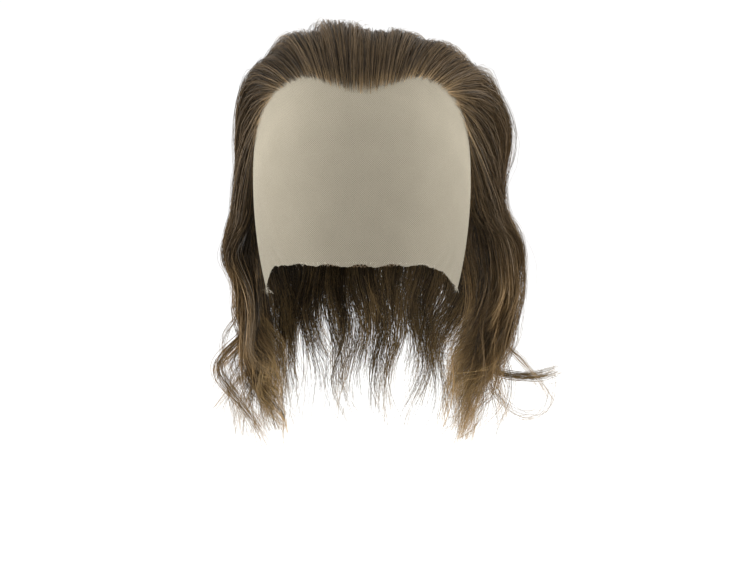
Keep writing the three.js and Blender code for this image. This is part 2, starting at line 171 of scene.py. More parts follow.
# Locks that hang loose at the sides: where across they lie, how wide they are, in which layer, from where
# along they stand off, and how long they hang. A turn outwards is (mm below the drop, over mm, degrees).
CURLS = [
    {
        "side": "left", "across": 0.06, "wide": 3.5, "layer": 0.1, "spread": 0.07, "strands": 90,
        "start": 0.4, "stand_off": 2, "hang": 206, "longest": 206,
        "turns": ((82, 14, 54), (110, 28, -88)),
    },
    {
        "side": "left", "across": 0.025, "wide": 5, "layer": 0.5, "strands": 30, "start": 0.4,
        "stand_off": 3, "hang": 128, "turns": ((60, 18, 42), (84, 24, -62)),
    },
    {
        "side": "left", "across": 0.15, "wide": 9, "layer": 0.15, "strands": 90, "start": 0.3,
        "stand_off": 1, "hang": 150, "turns": ((84, 24, 58), (130, 20, -20)),
    },
    {
        "side": "left", "across": 0.19, "wide": 7, "layer": 0.1, "strands": 60, "start": 0.3,
        "stand_off": 1, "hang": 168, "turns": ((100, 24, 55), (140, 20, -15)),
    },
    {
        "side": "right", "across": 0.9, "wide": 4, "layer": 0.3, "spread": 0.07, "strands": 90,
        "start": 0.2, "stand_off": 1, "hang": 197, "longest": 200,
        "turns": ((104, 26, 84), (126, 34, 28)),
    },
    {
        "side": "right", "across": 0.93, "wide": 7, "layer": 0.6, "strands": 40, "start": 0.2,
        "stand_off": 2, "hang": 158, "turns": ((84, 16, 58), (106, 44, -24)),
    },
    {
        "side": "right", "across": 0.87, "wide": 4, "layer": 0.3, "strands": 22, "start": 0.2,
        "stand_off": 2, "hang": 235, "longest": 240, "turns": ((112, 18, 30), (124, 126, 200)),
    },
]
# Tight locks on the outside of the right side, which all turn alike
OUTER_LOCK = {"side": "right", "wide": 5, "start": 0.1, "turns": ((20, 40, 6), (66, 44, -20))}
OUTER_LOCKS = {
    "across": [0.885, 0.9, 0.915, 0.93, 0.945],
    "layer": [0.72, 0.84, 0.78, 0.86, 0.74],
    "strands": [70, 70, 60, 60, 50],
    "stand_off": [2, 2, 2.5, 2.5, 2],
    "hang": [128, 136, 112, 120, 106],
}
# Thin wisps between them, that turn one way and then the other
WISPS = 44  # on each side
WISP = {
    "wide": 4, "strands": 14, "start": 0.3, "stand_off": 0, "place": (0.02, 0.21), "turn_at": (70, 115),
    "turn": (20, 48), "layer": (0.1, 0.7), "hang": (130, 196), "heading": (-0.7, 0.7),
    "first_over": 25, "turn_back_after": (25, 40), "back_over": 30, "turn_back": (1, 1.8),
}
CURL_DEFAULTS = {"spread": 0.2, "longest": LONGEST_HANG, "heading": 0}
CURL_LEAVE = (20, 140)  # lengths from the root where a loose lock comes to stand off
CURL_HAIR = {"turn": 0.02, "late": 1.5, "heading": 0.06}  # how unlike its neighbours each of its hairs is
CURL_WAVES = 0.4  # size of the other waves in it

# Places on the crown where the hair stands a little higher or lower
TUFTS = [
    {"across": 0.43, "along": 0.36, "height": 5.0, "wide": 0.022, "long": 0.12},
    {"across": 0.465, "along": 0.42, "height": 3.0, "wide": 0.02, "long": 0.15},
    {"across": 0.36, "along": 0.42, "height": 3.0, "wide": 0.05, "long": 0.2},
    {"across": 0.4, "along": 0.4, "height": -2.5, "wide": 0.012, "long": 0.15},
    {"across": 0.56, "along": 0.44, "height": -3.0, "wide": 0.03, "long": 0.2},
]

# Width of a strand in millimetres, its share at the root and at the tip, and how far from these it is whole
STRAND_WIDTH, ROOT_WIDTH, TIP_WIDTH = (0.2, 0.42), 0.4, 0.5
WIDE_FROM_ROOT, WIDE_FROM_TIP = 14, 60
TOP_LAYER, TOP_FINER = (0.75, 1.0), 0.45  # strands on top are finer
STRAND_ROLL = 1.1  # radians that it may be turned about its own length

# Tone of a strand, from 0 for the darkest: its own or its clump's, and more the higher its layer is, which
# is painted shade that darkens the lower layers under the hair above them
OWN_TONE, LIT_TONE, CURL_LIT = 0.62, 0.38, 0.7
TONE_MEAN, TONE_SPREAD, TONE_SHARED, SHARED_FROM = 0.5, 0.25, 0.75, (10, 120)
TRESS_CONTRAST = 0.2  # how much lighter or darker a whole tress of the right side may be
# Painted light and shade added to the tone across the head: lighter at the right side, where the light
# falls, and darker on the left towards the back
PAINTED_LIGHT_ACROSS = {
    "across": [0, 0.12, 0.22, 0.35, 0.5, 0.7, 0.85, 1],
    "lighter": [0.02, 0.01, -0.1, -0.05, -0.01, 0, 0.1, 0.11],
}

# Colours by the length from the root, those of the tone that multiply them, and those added at the tips.
# Along the
# length they are partly painted light: golden at the hairline roots, then darker on top of the head and
# about twice as light where the hair hangs at the sides, as the light falls there
ROOT_LENGTH = 160.0
ROOT_COLOURS = (
    (0.0, (0.17, 0.125, 0.079)),
    (0.04, (0.088, 0.064, 0.0395)),
    (0.11, (0.041, 0.03, 0.0202)),
    (0.22, (0.045, 0.0325, 0.0212)),
    (0.45, (0.076, 0.053, 0.0305)),
    (1.0, (0.086, 0.0595, 0.034)),
)
TONE_COLOURS = ((0.24, (0.12, 0.11, 0.1)), (0.5, (0.62, 0.61, 0.57)), (0.78, (2.5, 2.3, 1.84)))
TIP_COLOURS = ((0.0, (0, 0, 0)), (1.0, (0.16, 0.108, 0.042)))
GOLD_LENGTH, GOLD_TONES, GOLD_FROM_ROOT = 65.0, (0.1, 0.6), (110, 190)
HAIR_ROUGHNESS, HAIR_SPECULAR = 0.45, 0.12

# Nets: colours of thread and hole, size of a mesh in millimetres, how opaque a hole is, and painted light
# along the cloth from the seam (0) to the free edge (1): on the lace lighter near the hairline, as if lit
# from above, and on both nets darker towards the free edge
LACE_NET = {
    "thread": (0.237, 0.212, 0.163), "hole": (0.176, 0.158, 0.12), "cell": 0.85, "hole_alpha": 0.74,
    "painted_light_along": ((0.49, 1.24), (0.6, 1.09), (0.75, 1.0), (0.92, 0.94)),
}
CAP_NET = {
    "thread": (0.3, 0.22, 0.14), "hole": (0.12, 0.085, 0.05), "cell": 1.8, "hole_alpha": 0.7,
    "painted_light_along": ((0.0, 1.0), (1.0, 0.94)),
}
THREAD_HALF, HOLE_FROM = 0.06, 0.2  # in meshes, from the middle of a thread
NET_UNEVEN = 0.2  # how far the knots are out of line
SHADE_SCALE, SHADE_DETAIL, SHADE_COLOURS = 0.06, 5, ((0.3, (0.95, 0.95, 0.945)), (0.7, (1, 1, 1)))
THREAD_COLOURS = ((0.0, (0.24, 0.215, 0.165)), (1.0, (0.42, 0.385, 0.31)))
CLOTH_ROUGHNESS, NET_SPECULAR = 0.9, 0.2

# Points of the sheets along and across, and how near to the seam (0) they start
LACE_GRID, CAP_GRID = (90, 181), (60, 121)
SEAM_START = 0.002

# The trimmed edge of the lace
CREASE_SHARE, CREASE_SPREAD, CREASE_DEPTH, CREASE_FOLDS, CREASE_FROM = 0.62, 0.1, 0.7, 22, 0.86
RAGGED, RAGGED_WAVES, RAGGED_FROM = 0.004, 60, 0.97
EDGE_THREADS, EDGE_PLACES, EDGE_LENGTH = 320, (0.02, 0.98), (0.8, 2.6)
CORNER_THREADS, CORNER_PLACES, CORNER_SPREAD, CORNER_LENGTH = 16, (0.05, 0.93), 0.012, (1.5, 5.5)
THREAD_START, THREAD_TOWARDS, THREAD_SPLAY, THREAD_BEND = 0.99, 1.03, 1.6, 0.45
THREAD_POINTS, THREAD_WIDTH, THREAD_ROLL = 7, 0.16, 1.2

# Where a strand lies in its cell of the map, across and along
CELL_ACROSS, CELL_ALONG = (0.15, 0.85), (0.08, 0.92)

# Floor, light and camera. Lamps are placed in metres.
FLOOR_LEVEL, FLOOR_HALF, FLOOR_COLOUR, FLOOR_ROUGHNESS = -338.0, 3000.0, (0.97, 0.97, 0.97, 1), 0.8
STUDIO_COLOUR, STUDIO_LIGHT = (1, 1, 1, 1), 1.04
LAMPS = [
    {"name": "left", "place": (-1.7, -0.42, 0.0), "size": 0.9, "power": 45},
    {"name": "right", "place": (1.7, -0.38, 0.0), "size": 0.9, "power": 39},
    {"name": "front", "place": (-0.3, -1.7, 0.5), "size": 0.8, "power": 4},
]
LAMP_AIM = (0, 0, -0.1)
IMAGE_WIDE, IMAGE_HIGH = 750, 562
CENTRE_PIXEL = (362, 180)  # where the middle of the hollow is in the photograph
PIXELS_PER_MM, CAMERA_DISTANCE, CAMERA_DOWN, SENSOR = 1.435, 1500.0, math.radians(4), 36


# Shape functions, as in the part's source
def look_up(table, column, at):
    keys = np.array(next(iter(table.values())), float)
    values = np.array(table[column], float)
    at = np.asarray(at, float)
    row = np.clip(np.searchsorted(keys, at, side="left") - 1, 0, len(keys) - 2)
    span = keys[row + 1] - keys[row]
    t = np.clip((at - keys[row]) / span, 0, 1)
    before = np.maximum(np.arange(len(keys)) - 1, 0)
    after = np.minimum(np.arange(len(keys)) + 1, len(keys) - 1)
    slope = (values[after] - values[before]) / (keys[after] - keys[before])
    bend = t * t * (3 - 2 * t)
    ease = span * t * (1 - t) * ((1 - t) * slope[row] - t * slope[row + 1])
    return values[row] + (values[row + 1] - values[row]) * bend + ease


def smooth(low, high, at):
    t = np.clip((np.asarray(at, float) - low) / (high - low), 0, 1)
    return t * t * (3 - 2 * t)


def unit(v):
    return v / np.maximum(np.linalg.norm(v, axis=-1, keepdims=True), TINY)


# How far from the middle of the head a place across is, from 0 to 1 at either side
def from_middle(across):
    return np.abs(2 * across - 1)


def jaw_axis(x, y):
    flat = np.maximum(np.hypot(x, y), TINY)
    facing = (y / flat) ** 2
    front = np.where(y < 0, facing, 0)
    back = np.where(y < 0, 0, facing)
    return front * JAW_FRONT + back * NAPE + (1 - facing) * JAW_SIDE


def over_head(direction, height):
    x, y, z = direction[..., 0], direction[..., 1], direction[..., 2]
    length = np.where(y < 0, FRONT, BACK) + height
    plan = np.abs(x / (HALF_WIDTH + height)) ** PLAN_POWER + np.abs(y / length) ** PLAN_POWER
    plan = plan ** (1 / PLAN_POWER)
    above = z > 0
    upright = np.abs(np.where(above, z / (CROWN + height), z / (jaw_axis(x, y) + height)))
    power = np.where(above, CROWN_POWER, JAW_POWER)
    reach = (plan**power + upright**power) ** (-1 / power)
    return direction * reach[..., None] + CENTRE


def towards(turn, rise, side):
    angle = np.radians(turn) * side
    x, y = np.sin(angle), -np.cos(angle)
    length = np.where(y < 0, FRONT, BACK)
    widest = (np.abs(x / HALF_WIDTH) ** PLAN_POWER + np.abs(y / length) ** PLAN_POWER) ** (-1 / PLAN_POWER)
    axis = np.where(rise > 0, CROWN, jaw_axis(x, y))
    power = np.where(rise > 0, CROWN_POWER, JAW_POWER)
    narrow = np.maximum(1 - np.abs(rise / axis) ** power, 0) ** (1 / power)
    return np.stack([x * widest * narrow, y * widest * narrow, rise + 0 * x], -1)


def edge_place(table, across, turn, left, right):
    share = from_middle(across)
    side = np.where(across < 0.5, -1, 1)
    rise = np.where(across < 0.5, look_up(table, left, share), look_up(table, right, share))
    return towards(look_up(table, turn, share), rise, side)


# A place in the hair, which may drift less than the top layer and lie further forward on the head
def in_hair(across, along, height, drift_share=1.0, forward=0.0):
    across, along, height = np.broadcast_arrays(across, along, height)
    root = edge_place(FLOW, across, "root_turn", "root_rise", "root_rise")
    over = edge_place(FLOW, across, "over_turn", "over_rise", "over_rise")
    drop = edge_place(FLOW, across, "drop_turn", "drop_rise", "drop_rise")
    t = np.minimum(along, 1)[..., None]
    direction = root * (1 - t) ** 2 + over * 2 * t * (1 - t) + drop * t * t
    direction[..., 1] -= forward
    place = over_head(unit(direction), height)
    fallen = np.maximum(along - 1, 0)
    out = drop.copy()
    out[..., 2] = 0
    out = unit(out)
    sideness = smooth(*DRIFT_SIDE, np.abs(out[..., 0]))
    side_drift = np.where(out[..., 0] < 0, look_up(DRIFT, "left", fallen), look_up(DRIFT, "right", fallen))
    drift = sideness * side_drift + (1 - sideness) * look_up(DRIFT, "back", fallen)
    wave = np.sin(2 * np.pi * WAVE_TURNS * fallen + WAVE_PHASE * across * LOCKS)
    drift = drift * drift_share + WAVE_SIZE * smooth(0, WAVE_GROWN, fallen) * wave
    place = place + out * drift[..., None]
    place[..., 2] -= fallen * FALL
    return place


def length_on_head(across):
    steps = np.linspace(0, 1, LENGTH_STEPS + 1)
    line = in_hair(across[:, None], steps[None, :], BACKING)
    return np.linalg.norm(np.diff(line, axis=1), axis=-1).sum(1)


# Meshes from arrays
def mesh_object(name, points, quads, material, **attributes):
    mesh = bpy.data.meshes.new(name)
    quads = np.asarray(quads, np.int32)
    mesh.vertices.add(len(points))
    mesh.vertices.foreach_set("co", (np.asarray(points) * MM).astype(np.float32).ravel())
    mesh.loops.add(quads.size)
    mesh.loops.foreach_set("vertex_index", quads.ravel())
    mesh.polygons.add(len(quads))
    mesh.polygons.foreach_set("loop_start", np.arange(0, quads.size, quads.shape[1], dtype=np.int32))
    mesh.update(calc_edges=True)
    mesh.polygons.foreach_set("use_smooth", np.ones(len(quads), bool))
    for label, values in attributes.items():
        layer = mesh.attributes.new(label, "FLOAT", "POINT")
        layer.data.foreach_set("value", np.asarray(values, np.float32).ravel())
    mesh.materials.append(material)
    obj = bpy.data.objects.new(name, mesh)
    bpy.context.scene.collection.objects.link(obj)
    return obj


def grid_quads(rows, columns):
    corner = np.arange(rows * columns).reshape(rows, columns)
    return np.stack([corner[:-1, :-1], corner[:-1, 1:], corner[1:, 1:], corner[1:, :-1]], -1).reshape(-1, 4)


# A flat ribbon along each line of points, turned by roll about its own length. Each has a cell of its own
# in the map.
def ribbons(name, lines, outward, width, roll, material, **attributes):
    count, steps, _ = lines.shape
    tangent = unit(np.gradient(lines, axis=1))
    across = unit(np.cross(tangent, outward))
    away = np.cross(across, tangent)
    turn = roll[:, None, None]
    half = (width * 0.5)[..., None] * (across * np.cos(turn) + away * np.sin(turn))
    points = np.stack([lines - half, lines + half], 2).reshape(-1, 3)
    base = np.arange(count)[:, None] * (steps * 2) + np.arange(steps - 1)[None, :] * 2
    quads = np.stack([base, base + 1, base + 3, base + 2], -1).reshape(-1, 4)
    pairs = {key: np.repeat(value[..., None], 2, axis=2) for key, value in attributes.items()}
    obj = mesh_object(name, points, quads, material, **pairs)
    cells = math.ceil(math.sqrt(count))
    column = (np.arange(count) % cells)[:, None, None]
    row = (np.arange(count) // cells)[:, None, None]
    edge = np.array(CELL_ACROSS)[None, None, :]
    up = np.linspace(*CELL_ALONG, steps)[None, :, None]
    u, v = np.broadcast_arrays((column + edge) / cells, (row + up) / cells)
    place = np.stack([u, v], -1).reshape(-1, 2)
    layer = obj.data.uv_layers.new(name="OFBake")
    layer.data.foreach_set("uv", place[quads.ravel()].astype(np.float32).ravel())
    return obj


# Hair strands

# The nearest of some centres to each strand or clump
def nearest(across, layer, centre_across, centre_layer):
    aside = (across[:, None] - centre_across) * LOCKS
    above = (layer[:, None] - centre_layer) * LAYER_WEIGHT
    return np.argmin(aside**2 + above**2, axis=1)


# Strands of a lock: where they are rooted, which layer they lie in and which clump and tress they join
def strand_seeds(first, last, count, clumps, tresses, curl=None):
    across = rng.uniform(first, last, count)
    share = from_middle(across)
    on_head = length_on_head(across)
    in_front = ROOTS["in_front"] + ROOTS["in_front_side"] * smooth(*ROOTS["front_side"], share)
    at_hairline = rng.random(count) < (1.0 if curl else in_front)
    on_lace = ROOTS["on_lace"] + ROOTS["on_lace_side"] * smooth(*ROOTS["lace_side"], share)
    behind_hairline = ROOTS["deep"] * np.sqrt(rng.random(count)) - on_lace
    on_cap = rng.uniform(*ROOTS["on_cap"], count)
    layer = rng.random(count) ** LAYER_POWER
    layer = np.where(at_hairline, layer, layer * (1 - ROOTS["deeper_on_cap"] * on_cap))
    clump_layer = rng.random(clumps) ** CLUMP_POWER
    tress_layer = rng.random(tresses)
    if curl:
        layer = curl["layer"] + curl["spread"] * (layer - 0.5)
        clump_layer = curl["layer"] + curl["spread"] * (clump_layer - 0.5)
        tress_layer = np.full(tresses, curl["layer"])
    clump_across = rng.uniform(first, last, clumps)
    tress_across = rng.uniform(first, last, tresses)
    clump = nearest(across, layer, clump_across, clump_layer)
    tress = nearest(clump_across, clump_layer, tress_across, tress_layer)[clump]
    return {
        "across": across,
        "on_head": on_head,
        "root": np.where(at_hairline, behind_hairline / on_head, on_cap),
        "layer": layer,
        "clump": clump,
        "clump_across": clump_across[clump],
        "clump_layer": clump_layer[clump],
        "tress": tress,
        "tress_across": tress_across[tress],
        "tress_layer": tress_layer[tress],
    }


# Random values that the hairs of a clump or of a tress have in common, or that are each hair's own
class Draws:
    def __init__(self, seeds):
        self.count = len(seeds["root"])
        self.clump = seeds["clump"]
        self.tress = seeds["tress"]
        self.clumps = self.clump.max() + 1
        self.tresses = self.tress.max() + 1

    def by_clump(self, low, high):
        return rng.uniform(low, high, self.clumps)[self.clump][:, None]

    def by_tress(self, low, high):
        return rng.uniform(low, high, self.tresses)[self.tress][:, None]

    def by_hair(self, low, high):
        return rng.uniform(low, high, self.count)[:, None]

    def spread(self, spread):
        return rng.normal(0, spread, self.count)[:, None]


# The way of each strand from root to tip, with more points where it hangs than on the head
def strand_way(seeds, hang, points, curl):
    even = CURL_EVEN if curl else 0.0
    longest = curl["longest"] if curl else LONGEST_HANG
    count = len(seeds["root"])
    head_run = seeds["on_head"] * (1 - seeds["root"])
    clump_end = ENDS["shortest"] + ENDS["longer"] * rng.random(seeds["clump"].max() + 1) ** ENDS["power"]
    shorter = ENDS["hair_shorter"] * rng.random(count) ** ENDS["hair_power"]
    uneven = clump_end[seeds["clump"]] * (1 - shorter)
    hang = np.minimum(hang * (even + (1 - even) * uneven), longest)
    spare = np.maximum(rng.normal(LONGEST_HAIR, HAIR_SPREAD, count) - head_run, SHORTEST_HANG)
    if not curl:
        hang = np.minimum(hang, spare)
    slack = HEAD_PACE * head_run
    effort = np.linspace(0, 1, points)[None, :] * (slack + hang)[:, None]
    hanging_run = head_run[:, None] + effort - slack[:, None]
    run = np.where(effort < slack[:, None], effort / HEAD_PACE, hanging_run)
    run = np.minimum(run, (head_run + hang)[:, None])
    from_drop = run - head_run[:, None]
    along = np.where(from_drop < 0, 1 + from_drop / seeds["on_head"][:, None], 1 + from_drop / FALL)
    to_tip = (head_run + hang)[:, None] - run
    fallen = np.maximum(along - 1, 0)
    return SimpleNamespace(
        along=along,
        run=run,
        to_tip=to_tip,
        fallen=fallen,
        loose=smooth(0, HANGING, fallen),
        tip=smooth(TIP_LENGTH, 0, to_tip) * smooth(*TIP_BELOW, fallen),
    )


# Where across and in which layer the strands lie, drawn to their clumps and tresses
def gathered(seeds, draw, way, curl):
    pull = CURL_PULL if curl else PULL
    gather = pull["root"] + pull["hanging"] * way.loose + pull["tip"] * way.tip
    gather = gather * draw.by_clump(*pull["clump"]) * draw.by_hair(*pull["hair"])
    across = seeds["across"][:, None]
    across = across + (seeds["clump_across"][:, None] - across) * gather
    layer = seeds["layer"][:, None]
    layer = layer + (seeds["clump_layer"][:, None] - layer) * gather
    side = smooth(*SIDE, from_middle(across))
    rooted_up = SIDE_OVERLAP * side * layer * (1 - smooth(*OVERLAP_ALONG, way.along))
    across = across - np.sign(across - 0.5) * rooted_up
    join = (CURL_JOIN * way.loose if curl else JOIN * way.tip) * draw.by_tress(*JOIN_UNEVEN)
    across = across + (seeds["tress_across"][:, None] - across) * join
    layer = layer + (seeds["tress_layer"][:, None] - layer) * join
    layer = layer + (HALF_LAYER - layer) * THINNED * smooth(1 - TAPER, 1, way.fallen)
    return across, layer, side


# Height of the strands over the head
def strand_height(seeds, draw, way, across, layer, side):
    in_lock = across * LOCKS - 0.5
    depth = look_up(DEPTH, "depth", across) * (1 + UNEVEN_DEPTH * np.sin(UNEVEN_PHASE * in_lock))
    furrow = 1 - FURROW * np.abs(np.sin(np.pi * in_lock))
    rise = smooth(0, COMBED_MIDDLE + (COMBED_SIDE - COMBED_MIDDLE) * side, way.along)
    height = HAIR_SEAT + ROOT_HEIGHT * layer + (depth * furrow - ROOT_HEIGHT) * layer * rise
    for tuft in TUFTS:
        aside = (across - tuft["across"]) / tuft["wide"]
        ahead = (way.along - tuft["along"]) / tuft["long"]
        height = height + tuft["height"] * layer * np.exp(-(aside**2 + ahead**2))
    ruffle = draw.by_clump(*RUFFLE["clump"]) + draw.spread(RUFFLE["hair"])
    ruffle = ruffle * np.sin(np.pi * smooth(*RUFFLE["along"], way.along)) * layer
    height = height + ruffle * smooth(*RUFFLE["grown"], seeds["on_head"][:, None])
    sprout = FIRST_RISE + (1 - FIRST_RISE) * smooth(0, SPROUT, way.run)
    return LACE_WALL + (height - LACE_WALL) * sprout


def cycle(run, length, start):
    return 2 * np.pi * (run / length + start)


# How far the waves bring the strands sideways and outwards
def waves(draw, way, across, layer, side, height):
    low = side * smooth(*FRIZZ["low"], way.fallen)
    wave = cycle(way.fallen * FALL, draw.by_tress(*TRESS_WAVE["length"]), draw.by_tress(0, 1))
    sway = way.loose * draw.by_tress(*TRESS_WAVE["sway"]) * np.sin(wave)
    bob = way.loose * draw.by_tress(*TRESS_WAVE["bob"]) + low * draw.by_tress(*TRESS_WAVE["low_bob"])
    bob = bob * np.cos(wave)
    frizz = cycle(way.run, draw.by_clump(*FRIZZ["length"]), draw.by_clump(0, 1))
    bob = bob + low * draw.by_clump(*FRIZZ["size"]) * np.cos(frizz)
    sway = sway + low * draw.by_clump(*FRIZZ["size"]) * np.sin(frizz)
    ripple = cycle(way.run, draw.by_clump(*RIPPLE["length"]), draw.by_clump(0, 1))
    ripple_size = draw.by_clump(*RIPPLE["size"]) * (1 + RIPPLE["side"] * side)
    sway = sway + ripple_size * smooth(*RIPPLE["grown"], way.run) * np.sin(ripple)
    roll_size = side * (draw.by_tress(*ROLL["tress"]) + draw.by_clump(*ROLL["clump"]))
    roll_size = roll_size * smooth(*ROLL["grown"], way.run)
    roll = cycle(way.run, draw.by_tress(*ROLL["length"]), draw.by_tress(0, 1))
    sway = sway + roll_size * np.sin(roll)
    bob = bob + roll_size * np.cos(roll)
    splay = draw.by_clump(*SPLAY["clump"]) + draw.spread(SPLAY["hair"])
    sway = sway + splay * smooth(*SPLAY["grown"], way.run)
    level = in_hair(across, way.along, height)[..., 2]
    in_step = 2 * np.pi * level / STEP["length"] + STEP["shift"] * np.sin(STEP["shifts"] * across)
    in_step = in_step + STEP["by_layer"] * layer
    sway = sway + STEP["size"] * smooth(0, STEP["grown"], way.fallen) * np.sin(in_step)
    bulge = BULGE["size"] * np.cos(2 * np.pi * (level - BULGE["level"]) / BULGE["spacing"])
    bob = bob + bulge * smooth(*RIGHT, across) * smooth(*BULGE["grown"], way.run) * layer
    return sway, bob


# How far the tips are curled, and to which side
def tip_turn(draw, way, side):
    turn = draw.by_tress(*TIP_TURN["tress"]) + draw.by_clump(*TIP_TURN["clump"])
    ends_low = smooth(*HIGH_UP, way.fallen.max(axis=1, keepdims=True))
    turn = turn * way.tip * (TIP_AT_BACK + (1 - TIP_AT_BACK) * side)
    turn = turn * (TIP_HIGH_UP + (1 - TIP_HIGH_UP) * ends_low) + draw.spread(TIP_TURN["hair"]) * way.loose
    heading = draw.by_tress(*TIP_HEADING["tress"]) + draw.by_clump(*TIP_HEADING["clump"])
    return turn, heading


# How far a loose lock has turned, and to which side
def curl_turn(draw, way, curl):
    turn = draw.spread(CURL_HAIR["turn"]) * way.loose
    for at, over, degrees in curl["turns"]:
        hung = way.fallen * FALL + draw.spread(CURL_HAIR["late"])
        turn = turn + math.radians(degrees) * smooth(at, at + over, hung)
    return turn, curl["heading"] + draw.spread(CURL_HAIR["heading"])


# How far a loose lock stands off from the others
def curl_stand_off(way, curl):
    free = (way.along - curl["start"]) / (way.along.max(axis=1, keepdims=True) - curl["start"])
    leave = np.sqrt(np.maximum(np.sin(np.pi * np.clip(free, 0, 1)), 0))
    return curl["stand_off"] * leave * smooth(*CURL_LEAVE, way.run)


# How far a strand that turns away from its way has come aside, and how much less far down it is
def turned_path(turn, run):
    step = np.diff(run, axis=1)
    middle = 0.5 * (turn[:, 1:] + turn[:, :-1])
    aside = np.cumsum(np.sin(middle) * step, axis=1)
    lift = np.cumsum((1 - np.cos(middle)) * step, axis=1)
    first = np.zeros((len(run), 1))
    return np.hstack([first, aside]), np.hstack([first, lift])


# Each hair's own way, sideways and outwards
def own_way(draw, way, stray):
    size = np.where(stray, draw.by_hair(*OWN_WAY["stray"]), draw.by_hair(*OWN_WAY["hair"]))
    size = size * (OWN_WAY["root"] + (1 - OWN_WAY["root"]) * smooth(0, OWN_WAY["grown"], way.run))
    phase = rng.uniform(0, 2 * np.pi, (2, draw.count, 1))
    length = rng.uniform(*OWN_WAY["length"], (2, draw.count, 1))
    sideways, outwards = np.sin(2 * np.pi * way.run / length + phase)
    return size * sideways, OWN_WAY["bob"] * size * outwards


# Lines in space. Hair that sways past the edge of the wig turns back on the head, and hangs forward below.
def lines_in_space(seeds, draw, way, across, along, layer, height):
    hanging = smooth(0, FREE_FALL, way.fallen)
    within = np.clip(across, 0, 1)
    beyond = np.abs(across - within) * MM_ACROSS * hanging
    mirrored = 1 - np.abs(1 - np.abs(across))
    across = mirrored + (within - mirrored) * hanging
    share = from_middle(across)
    fuzz = sum(more * smooth(low, high, share) for low, high, more in ROOT_FUZZ)
    at_hairline = smooth(FUZZ_REACH, 0, seeds["root"])[:, None]
    forward = fuzz * draw.by_hair(0, 1) ** 2 * at_hairline * (1 - smooth(0, SPROUT, way.run))
    height = np.maximum(height, LACE_WALL - UNDER * way.loose)
    lines = in_hair(across, along, height, INNER_DRIFT + (1 - INNER_DRIFT) * layer, forward)
    lines[..., 1] -= beyond
    lines[:, 1:-1] = (lines[:, :-2] + 2 * lines[:, 1:-1] + lines[:, 2:]) / 4
    outward = lines - CENTRE
    outward[..., 2] = np.where(along > 1, 0, np.maximum(outward[..., 2], 0))
    return lines, unit(outward), across


# Tone of each strand: its own and its clump's at random and a tress's on the right, with painted shade by
# layer and painted light and shade across the head
def strand_tone(draw, way, across, layer, curl):
    own = np.clip(rng.normal(TONE_MEAN, TONE_SPREAD, draw.count), 0, 1)[:, None]
    shared = TONE_SHARED * smooth(*SHARED_FROM, way.run)
    # painted shade: the lower a strand's layer, the darker it is; loose locks are painted as lit as an
    # upper layer
    lit = CURL_LIT if curl else layer
    tone = OWN_TONE * (own + (draw.by_clump(0, 1) - own) * shared) + LIT_TONE * lit
    tress_tone = tone_rng.uniform(-1, 1, draw.tresses)[draw.tress][:, None]
    # painted light and shade by where across the head a strand lies
    tone = tone + look_up(PAINTED_LIGHT_ACROSS, "lighter", across)
    return tone + TRESS_CONTRAST * smooth(*RIGHT, across) * shared * tress_tone


# The middle lines of the strands, which way they face, their lengths from root and tip, tone and fineness
def strand_lines(seeds, hang, points, curl=None):
    draw = Draws(seeds)
    way = strand_way(seeds, hang, points, curl)
    across, layer, side = gathered(seeds, draw, way, curl)
    height = strand_height(seeds, draw, way, across, layer, side)
    sway, bob = waves(draw, way, across, layer, side, height)
    stray = draw.by_hair(0, 1) < STRAY
    turn, heading = tip_turn(draw, way, side)
    if curl:
        turn, heading = curl_turn(draw, way, curl)
        height = height + curl_stand_off(way, curl)
        sway, bob = CURL_WAVES * sway, CURL_WAVES * bob
    turn = turn + np.where(stray, draw.spread(TIP_TURN["stray"]), 0) * smooth(TIP_LENGTH, 0, way.to_tip)
    aside, lift = turned_path(turn, way.run)
    own_sway, own_bob = own_way(draw, way, stray)
    across = across + (sway + aside * np.sin(heading) + own_sway) / MM_ACROSS
    height = height + bob + aside * np.cos(heading) + own_bob
    along = way.along - lift / FALL
    lines, outward, across = lines_in_space(seeds, draw, way, across, along, layer, height)
    tone = strand_tone(draw, way, across, layer, curl)
    fine = 1 - TOP_FINER * smooth(*TOP_LAYER, layer)
    return lines, outward, way.run, way.to_tip, tone, fine


def joined(batches):
    return [np.concatenate(part) for part in zip(*batches)]


def section_strands(first, last):
    batches = []
    for number in range(first, last):
        hang = FALL * (1 - UNEVEN_LENGTH * (1 + math.sin(UNEVEN_PHASE * (number + UNEVEN_SHIFT))))
        low = max((number - LOCK_OVERLAP) / LOCKS, 0)
        high = min((number + 1 + LOCK_OVERLAP) / LOCKS, 1)
        seeds = strand_seeds(low, high, STRANDS // (last - first), CLUMPS, TRESSES)
        batches.append(strand_lines(seeds, hang, POINTS))
    return joined(batches)


def outer_locks():
    for row in zip(*OUTER_LOCKS.values()):
        yield {**OUTER_LOCK, **dict(zip(OUTER_LOCKS, row))}


def wisps(side):
    for _ in range(WISPS):
        place = rng.uniform(*WISP["place"])
        at = rng.uniform(*WISP["turn_at"])
        turn = rng.choice([-1, 1]) * rng.uniform(*WISP["turn"])
        own = {key: rng.uniform(*WISP[key]) for key in ("layer", "hang", "heading")}
        back_at = at + rng.uniform(*WISP["turn_back_after"])
        turn_back = -turn * rng.uniform(*WISP["turn_back"])
        yield {
            **WISP,
            **own,
            "side": side,
            "across": place if side == "left" else 1 - place,
            "turns": ((at, WISP["first_over"], turn), (back_at, WISP["back_over"], turn_back)),
        }


def curl_strands(side):
    batches = []
    for row in [*CURLS, *outer_locks(), *wisps(side)]:
        if row["side"] == side:
            curl = {**CURL_DEFAULTS, **row}
            half = 0.5 * curl["wide"] / MM_ACROSS
            low, high = curl["across"] - half, min(curl["across"] + half, 1)
            seeds = strand_seeds(low, high, curl["strands"], CURL_CLUMPS, CURL_TRESSES, curl)
            batches.append(strand_lines(seeds, curl["hang"], CURL_POINTS, curl))
    return joined(batches)


